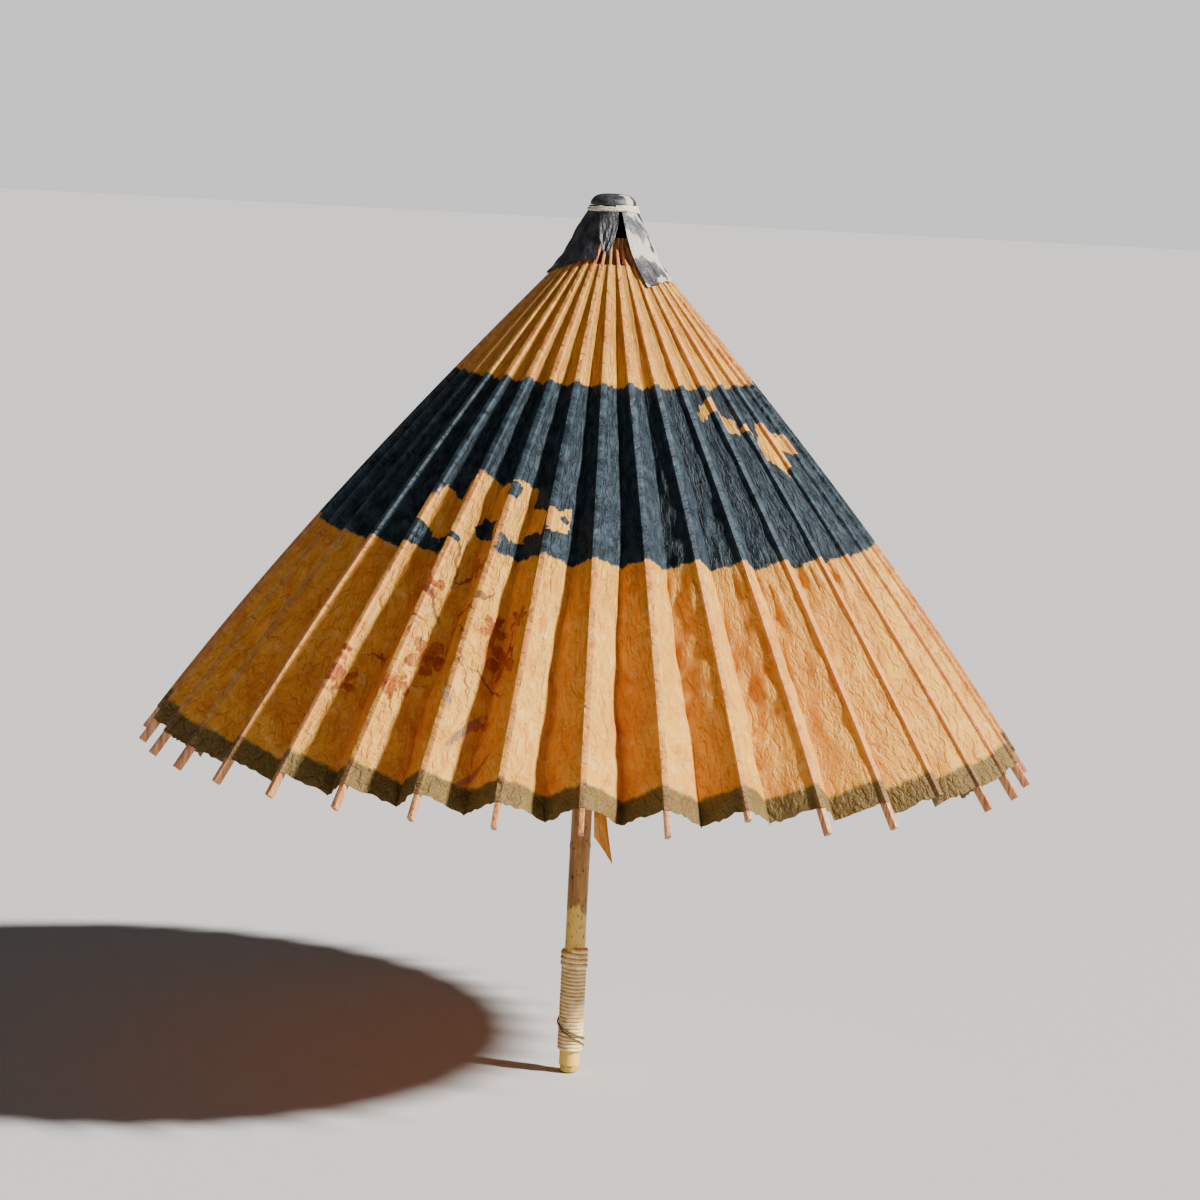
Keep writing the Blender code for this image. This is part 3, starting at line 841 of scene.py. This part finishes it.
# each winding: foot, head, radius at the foot and at the head, pitch, strand, unevenness
grip = {
    "top": 0.1140,
    "caneWrap": (0.0203, 0.0965, 0.0098, 0.0098, 0.0034, 0.0017, 0.0007),
    "caneCollar": (0.0965, 0.1116, 0.0102, 0.0102, 0.0046, 0.0023, 0.0009),
    "looseStrand": (0.0300, 0.0560, 0.0121, 0.0121, 0.030, 0.0008, 0.0016),
    "looseEnd": (0.0240, 0.0400, 0.0119, 0.0119, 0.040, 0.0007, 0.0012),
}
ties = {  # the same, with foot and head counted from those of the binding that it covers
    "runner_binding": (0.0008, -0.0008, 0.0153, 0.0153, 0.0011, 0.0006, 0.0003),
    "crown_binding": (0.0016, -0.0004, 0.0218, 0.0200, 0.0017, 0.0014, 0.0034),
}


def winding(name, look, material, body="root", replaced=()):
    low, high, lowerRadius, upperRadius, pitch, strand, uneven = look
    mesh = runTree(name, windings, {
        "Lower Radius": lowerRadius, "Upper Radius": upperRadius, "Height": high - low, "Base": low,
        "Turns": (high - low) / pitch, "Strand": strand, "Unevenness": uneven, "Finish": material,
    })
    finished(name, mesh, material, body, replaced)


def tie(name, node, material, body):
    low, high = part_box(node)
    foot, head, *others = ties[node]
    winding(name, (low.z + foot, high.z + head, *others), material, body, [node])


def makeWindings():
    winding("caneWrap", grip["caneWrap"], caneSkin, replaced=["grip_wrap"])
    winding("caneCollar", grip["caneCollar"], caneSkin)
    winding("looseStrand", grip["looseStrand"], darkCane)
    winding("looseEnd", grip["looseEnd"], darkCane)
    tie("runnerTie", "runner_binding", threadDark, "runner")
    tie("crownTie", "crown_binding", tieTwine, "root")


makeWindings()
print("windings made")


shaftShape = {
    "rows": 260, "steps": 48, "inset": 0.0002, "wander": 0.00035,
    "knots": (0.205, 0.345, 0.500, 0.640), "knotHeight": 0.0007, "knotReach": 0.0022,
    "evenAbove": 0.70,  # inside the hub it keeps the frame's radius
    "slotCentre": (0.0065, 0, 0.2910), "slotSize": (0.0150, 0.0050, 0.0420),
}


def shaftRadius(outer, turn, z):
    if z < grip["top"] or z > shaftShape["evenAbove"]:
        return outer
    swell = sum(exp(-((z - knot) / shaftShape["knotReach"]) ** 2) for knot in shaftShape["knots"])
    rough = wave(cos(turn) * 0.8, sin(turn) * 0.8, z * 14)
    return outer + (shaftShape["knotHeight"] * swell + shaftShape["wander"] * rough)


def makeShaft():
    low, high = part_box("shaft")
    outer = high.x - shaftShape["inset"]
    count = shaftShape["steps"]
    bm = bmesh.new()
    rings = []
    for z in np.linspace(low.z, high.z, shaftShape["rows"]):
        ring = []
        for turn in np.linspace(0, 2 * pi, count, endpoint=False):
            ring.append(bm.verts.new(onCircle(shaftRadius(outer, turn, z), turn, z)))
        rings.append(ring)
    for ring, after in zip(rings, rings[1:]):
        for i in range(count):
            j = (i + 1) % count
            bm.faces.new((ring[i], ring[j], after[j], after[i]))
    bm.faces.new(rings[0][::-1])
    bm.faces.new(rings[-1])
    helper = temporary(written(bm, bpy.data.meshes.new("shaftPole")))
    slotScale = Matrix.Diagonal((*shaftShape["slotSize"], 1))
    bm = bmesh.new()
    bmesh.ops.create_cube(bm, size=1.0, matrix=Matrix.Translation(shaftShape["slotCentre"]) @ slotScale)
    cutter = temporary(written(bm, bpy.data.meshes.new("slotCutter")))
    cut = helper.modifiers.new("Slot", "BOOLEAN")
    cut.object = cutter
    cut.solver = "EXACT"
    result = baked(helper, "bambooShaft")
    bpy.data.objects.remove(cutter)
    finished("bambooShaft", smoothed(result, 45), shaftWood, "root", ["shaft"])


makeShaft()
print("shaft made")


# the torn black hood: bent strips of lacquered paper round the crown, with ragged feet
hood = {
    "top": 0.0265,  # above the pivots
    # radius at each level, from the top down
    "outline": ((0.0275, 0.0205), (0.0220, 0.0235), (0.0120, 0.0290), (0.0, 0.0345), (-0.0150, 0.0420),
                (-0.0270, 0.0505), (-0.0400, 0.0620)),
    "rows": 30, "columns": 30, "thickness": 0.0005,
    "ragged": 0.0028, "crease": 0.0016, "fineCrease": 0.0009, "fanPower": 1.3,
    "gathered": 0.42, "gatheredAt": 0.0215,  # share left when closed, and the radius it closes to
    # each flap: its edges at the top and at the foot in ribs, how low each end of the foot hangs, lift
    "flaps": (
        (0.4, 6.7, 0.1, 7.5, -0.031, -0.013, 0.0012), (6.3, 10.3, 7.9, 8.7, -0.008, -0.011, 0.0030),
        (11.1, 15.8, 12.2, 15.8, -0.036, -0.031, 0.0024), (15.3, 20.7, 15.5, 20.4, -0.033, -0.026, 0.0010),
        (20.2, 25.8, 20.6, 25.5, -0.030, -0.034, 0.0022), (25.3, 30.9, 25.8, 30.6, -0.027, -0.030, 0.0010),
        (30.4, 36.8, 30.9, 36.4, -0.034, -0.029, 0.0022),
    ),
}
# a near-black ring inside the hood: an inner black layer, drawn darker than the hood's paper and without
# shine, so that it gives painted shade in the gaps between the flaps
shadeLining = {
    "rows": 10, "steps": 72, "thickness": 0.0004,
    "top": 0.0255, "depth": 0.0225, "topRadius": 0.0190, "widening": 0.0010, "widest": 0.0256,
}
cap = {
    "rows": 18, "steps": 44,
    "radius": 0.0200, "sink": 0.001, "rise": 0.0045, "squareness": 0.8, "lump": 0.0012,
}


def makeFlap(number, flap):
    topStart, topEnd, footStart, footEnd, lowStart, lowEnd, lift = flap
    rows, columns = hood["rows"], hood["columns"]
    points = np.zeros((rows, columns, 3))
    levels = [level for level, radius in hood["outline"]][::-1]
    radii = [radius for level, radius in hood["outline"]][::-1]
    for j in range(columns):
        part = j / (columns - 1)
        ragged = wave(part * 6 + number * 9, 2.0, number) * hood["ragged"]
        foot = lowStart + (lowEnd - lowStart) * part + ragged
        bulge = 0.35 + 0.65 * (abs(part - 0.5) * 2) ** 3
        for i in range(rows):
            down = i / (rows - 1)
            start = topStart + (footStart - topStart) * down ** hood["fanPower"]
            end = topEnd + (footEnd - topEnd) * down ** hood["fanPower"]
            turn = ribTurn(start + (end - start) * part)
            level = hood["top"] + (foot - hood["top"]) * down
            crease = wave(part * 4 + number * 5, down * 3, 3.3) * hood["crease"]
            crease += wave(part * 11 + number, down * 8, 8.1) * hood["fineCrease"]
            radius = np.interp(level, levels, radii) + lift * down * bulge + crease * (0.3 + down)
            points[i, j] = onCircle(radius, turn, pivotHeight + level)
    mesh = thickened(faceOut(gridMesh("flap", points)), f"hoodFlap_{number}", hood["thickness"])
    covered = ["crown_hood"] if number == 0 else []
    piece = finished(f"hoodFlap_{number}", mesh, hoodSkin, "root", covered)
    turn = ribTurn((footStart + footEnd) / 2)
    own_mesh(piece)


def sewn(mesh, capped):
    bm = bmesh.new()
    bm.from_mesh(mesh)
    bmesh.ops.remove_doubles(bm, verts=bm.verts, dist=0.00001)
    if capped:
        bmesh.ops.contextual_create(bm, geom=[edge for edge in bm.edges if edge.is_boundary])
        bmesh.ops.recalc_face_normals(bm, faces=bm.faces)
    return written(bm, mesh)


def makeShadeLining():
    rows, steps = shadeLining["rows"], shadeLining["steps"]
    points = np.zeros((rows, steps + 1, 3))
    for i in range(rows):
        level = shadeLining["top"] - shadeLining["depth"] * i / (rows - 1)
        radius = min(shadeLining["topRadius"] + shadeLining["widening"] * i, shadeLining["widest"])
        for j in range(steps + 1):
            turn = 2 * pi * j / steps
            points[i, j] = onCircle(radius, turn, pivotHeight + level)
    mesh = thickened(faceOut(sewn(gridMesh("shadeLining", points), False)), "hoodShadeLining", shadeLining["thickness"])
    finished("hoodShadeLining", mesh, shadeLiningSkin, "root")


def makeHood():
    for number, flap in enumerate(hood["flaps"]):
        makeFlap(number, flap)
    makeShadeLining()


def makeCap():
    low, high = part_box("crown_cap")
    rows, steps = cap["rows"], cap["steps"]
    points = np.zeros((rows, steps + 1, 3))
    for i in range(rows):
        down = i / (rows - 1)
        bend = down * pi / 2
        for j in range(steps + 1):
            turn = 2 * pi * (j % steps) / steps
            lumps = wave(cos(turn) * 1.6 * down, sin(turn) * 1.6 * down, 5.0)
            lumps = lumps * cap["lump"] * sin(pi * min(down * 1.2, 1))
            radius = cap["radius"] * sin(bend) ** cap["squareness"] + lumps
            rise = (high.z + cap["rise"] - low.z) * cos(bend) ** cap["squareness"]
            height = low.z - cap["sink"] + rise + lumps * 0.5
            points[i, j] = onCircle(radius, turn, height)
    mesh = smoothed(sewn(gridMesh("cap", points), True), 50)
    finished("crownCap", mesh, hoodSkin, "root", ["crown_cap"])


makeHood()
makeCap()
print("crown made")


# a torn scrap of paper that hangs from the runner
scrap = {
    "rows": 16, "columns": 10, "thickness": 0.0004,
    "top": 0.312, "foot": 0.190, "footSlant": 0.024,
    "left": 0.0120, "leftBend": 0.002, "right": 0.0165, "rightSpread": 0.013,
    "front": -0.004, "curl": 0.003, "crease": 0.001,
    "paintAcross": (20.1, 20.4), "paintDown": (0.62, 0.80),
}


def makeScrap():
    rows, columns = scrap["rows"], scrap["columns"]
    points = np.zeros((rows, columns, 3))
    for i in range(rows):
        down = i / (rows - 1)
        left = scrap["left"] - scrap["leftBend"] * sin(down * 3)
        right = scrap["right"] + scrap["rightSpread"] * down ** 2
        for j in range(columns):
            part = j / (columns - 1)
            foot = scrap["foot"] + scrap["footSlant"] * (1 - part)
            curl = scrap["front"] + scrap["curl"] * sin(part * 3) + scrap["curl"] * sin(down * 3)
            crease = scrap["crease"] * wave(part * 4, down * 4, 2)
            height = scrap["top"] + (foot - scrap["top"]) * down
            points[i, j] = (left + (right - left) * part, curl + crease, height)
    flatU, flatV = np.linspace(*scrap["paintAcross"], columns), np.linspace(*scrap["paintDown"], rows)
    uvs = np.stack(np.broadcast_arrays(flatU[None, :], flatV[:, None]), -1)
    mesh = thickened(gridMesh("scrap", points, uvs), "tornScrap", scrap["thickness"])
    finished("tornScrap", mesh, gorePaper, "runner")


makeScrap()
print("scrap made")


# light, floor and camera
studio = {
    "floorHalf": 60.0, "floorLevel": -0.001, "floorGrey": 0.50, "floorRoughness": 0.9,
    "backdrop": 0.92, "ambient": 0.09,  # the backdrop as the camera sees it, and the light that it gives
    "lookAt": (0, 0, 0.5),
    "sun": {"energy": 12.0, "from": (3.2, -0.92, 2.85), "size": radians(4), "colour": (1.0, 0.97, 0.91)},
    "fill": {"energy": 5, "from": (-1.2, -3.2, 1.6), "size": 2.0, "colour": (1, 1, 1)},
}
view = {
    "distance": 5.0891, "rise": 0.0945,  # in rib lengths, from the pivots
    "yaw": radians(0.1196), "pitch": radians(-7.1256), "roll": radians(2.9813),
    "focal": 3386.67, "frameSize": 1200, "sensor": 36.0, "farthest": 200,
}


def addLight(name, kind, look):
    data = bpy.data.lights.new(name, kind)
    data.energy = look["energy"]
    data.color = look["colour"]
    if kind == "AREA":
        data.shape = "DISK"
        data.size = look["size"]
    else:
        data.angle = look["size"]
    lamp = bpy.data.objects.new(name, data)
    lamp.location = look["from"]
    aim = Vector(studio["lookAt"]) - Vector(look["from"])
    lamp.rotation_euler = aim.to_track_quat("-Z", "Y").to_euler()
    bpy.context.scene.collection.objects.link(lamp)


def makeFloor():
    bm = bmesh.new()
    bmesh.ops.create_grid(bm, x_segments=1, y_segments=1, size=studio["floorHalf"])
    mesh = written(bm, bpy.data.meshes.new("floor"))
    floor = bpy.data.objects.new("floor", mesh)
    floor.location = (0, 0, studio["floorLevel"])
    bpy.context.scene.collection.objects.link(floor)
    material = newMaterial("paleFloor")[0]
    shader = material.node_tree.nodes["Principled BSDF"]
    shader.inputs["Base Color"].default_value = (*[studio["floorGrey"]] * 3, 1)
    shader.inputs["Roughness"].default_value = studio["floorRoughness"]
    mesh.materials.append(material)


def makeWorld():
    world = bpy.data.worlds.new("studio")
    bpy.context.scene.world = world
    world.use_nodes = True
    tree = world.node_tree
    background = tree.nodes["Background"]
    background.inputs["Color"].default_value = (1.0, 1.0, 1.0, 1)
    seen = tree.nodes.new("ShaderNodeLightPath").outputs["Is Camera Ray"]
    extra = studio["backdrop"] - studio["ambient"]
    wire(tree, calc(tree, "MULTIPLY_ADD", seen, extra, studio["ambient"]), background.inputs["Strength"])


def makeCamera():
    camera = bpy.data.cameras.new("camera")
    camera.sensor_width = view["sensor"]
    camera.lens = view["sensor"] * view["focal"] / view["frameSize"]
    camera.clip_end = view["farthest"]
    holder = bpy.data.objects.new("camera", camera)
    bpy.context.scene.collection.objects.link(holder)
    level = cos(view["pitch"])
    forward = Vector((sin(view["yaw"]) * level, cos(view["yaw"]) * level, sin(view["pitch"])))
    right = forward.cross(Vector((0, 0, 1))).normalized()
    up = right.cross(forward)
    turnedRight = cos(view["roll"]) * right + sin(view["roll"]) * up
    turnedUp = -sin(view["roll"]) * right + cos(view["roll"]) * up
    basis = Matrix((turnedRight, turnedUp, -forward)).transposed().to_4x4()
    length = cone["ribLength"]
    spot = Vector((0, -view["distance"] * length, pivotHeight + view["rise"] * length))
    holder.matrix_world = Matrix.Translation(spot) @ basis
    bpy.context.scene.camera = holder


def makeStudio():
    makeFloor()
    makeWorld()
    addLight("key", "SUN", studio["sun"])
    addLight("fill", "AREA", studio["fill"])
    makeCamera()


makeStudio()
print("studio made")
